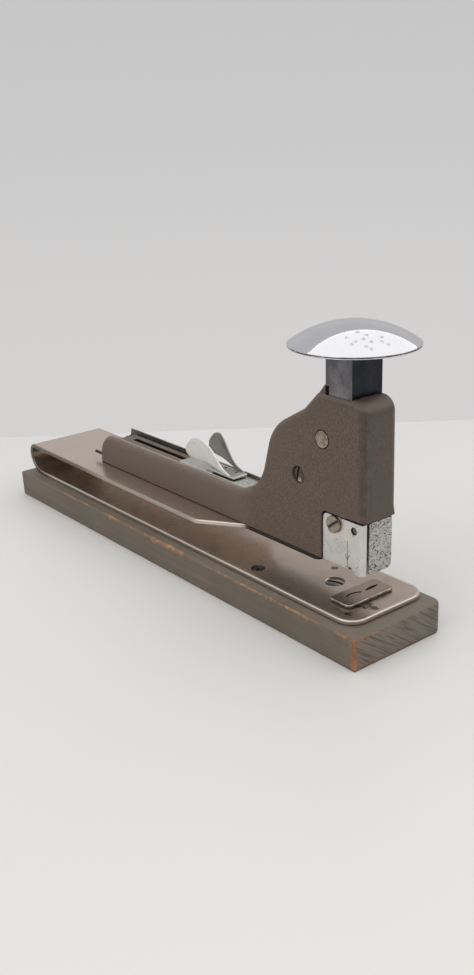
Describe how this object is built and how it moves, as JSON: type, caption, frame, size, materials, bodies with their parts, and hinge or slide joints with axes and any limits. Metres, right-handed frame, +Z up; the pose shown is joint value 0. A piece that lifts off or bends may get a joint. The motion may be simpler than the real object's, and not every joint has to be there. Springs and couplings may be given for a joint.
{
  "type": "palm stapler",
  "caption": "Long-reach palm stapler: a folded steel strip on a wooden base carries a cast head with magazine, plunger and domed knob above an anvil.",
  "frame": {"origin": "on the wooden block's resting face, at half the block's length and in the head's centre plane", "axes": "+X along the length towards the nose, +Z up from the table, +Y across, away from the side that carries the pin head and the body screw"},
  "size_m": [0.28, 0.0558, 0.134],
  "materials": {
    "painted_wood": "worn grey paint over brown wood, orange-brown where the paint is rubbed off the edges",
    "strip_steel": "tarnished satin strip, bright where its edges are rubbed",
    "enamel": "taupe satin enamel on a die casting",
    "blued_steel": "blued, lightly drawn",
    "chrome": "bright, finely scuffed",
    "nickel": "nickel plate with small dark specks",
    "dark_steel": "oiled dark steel",
    "spring_steel": "plain spring wire",
    "staple_wire": "bright wire with fine cross lines"
  },
  "bodies": {
    "base": {"wood_base": "painted_wood", "base_strip": "strip_steel", "anvil_plate": "strip_steel", "base_screw_front": "strip_steel", "base_screw_near": "strip_steel", "base_screw_far": "strip_steel", "base_screw_middle": "strip_steel", "base_screw_rear": "strip_steel"},
    "head": {"leaf_spring": "strip_steel", "head_casting": "enamel", "leaf_screw_rear": "dark_steel", "leaf_screw_middle": "dark_steel", "leaf_screw_front": "dark_steel", "magazine_channel": "dark_steel", "channel_rivet_rear": "spring_steel", "channel_rivet_front": "spring_steel", "core_rail": "dark_steel", "core_plug": "dark_steel", "guide_rod": "spring_steel", "staple_strip": "staple_wire", "nose_side_plate": "nickel", "nose_front_plate": "nickel", "nose_screw_near": "nickel", "nose_screw_far": "nickel", "nose_dowel": "dark_steel", "stop_pin": "nickel", "body_screw": "dark_steel", "latch_pin": "dark_steel", "spring_post": "dark_steel", "return_spring": "spring_steel", "pusher_spring": "spring_steel"},
    "plunger": {"plunger": "blued_steel", "knob": "chrome", "knob_stud": "dark_steel", "driver_blade": "dark_steel", "driver_rivet_lower": "spring_steel", "driver_rivet_upper": "spring_steel"},
    "pusher": {"pusher": "nickel"}
  },
  "joints": [
    {"name": "head_press", "type": "hinge", "parent": "base", "child": "head", "pos_m": [-0.126, 0, 0.0301], "axis": [0, 1, 0], "range_deg": [0, 2.6], "stiffness_Nm_per_rad": 80, "springref_deg": -2.29},
    {"name": "plunger_slide", "type": "slide", "parent": "head", "child": "plunger", "axis": [0, 0, -1], "range_m": [0, 0.017], "stiffness_N_per_m": 600, "springref_m": -0.015, "deforming": ["return_spring"]},
    {"name": "pusher_slide", "type": "slide", "parent": "head", "child": "pusher", "axis": [-1, 0, 0], "range_m": [0, 0.034], "stiffness_N_per_m": 60, "springref_m": -0.03, "deforming": ["pusher_spring"]}
  ]
}
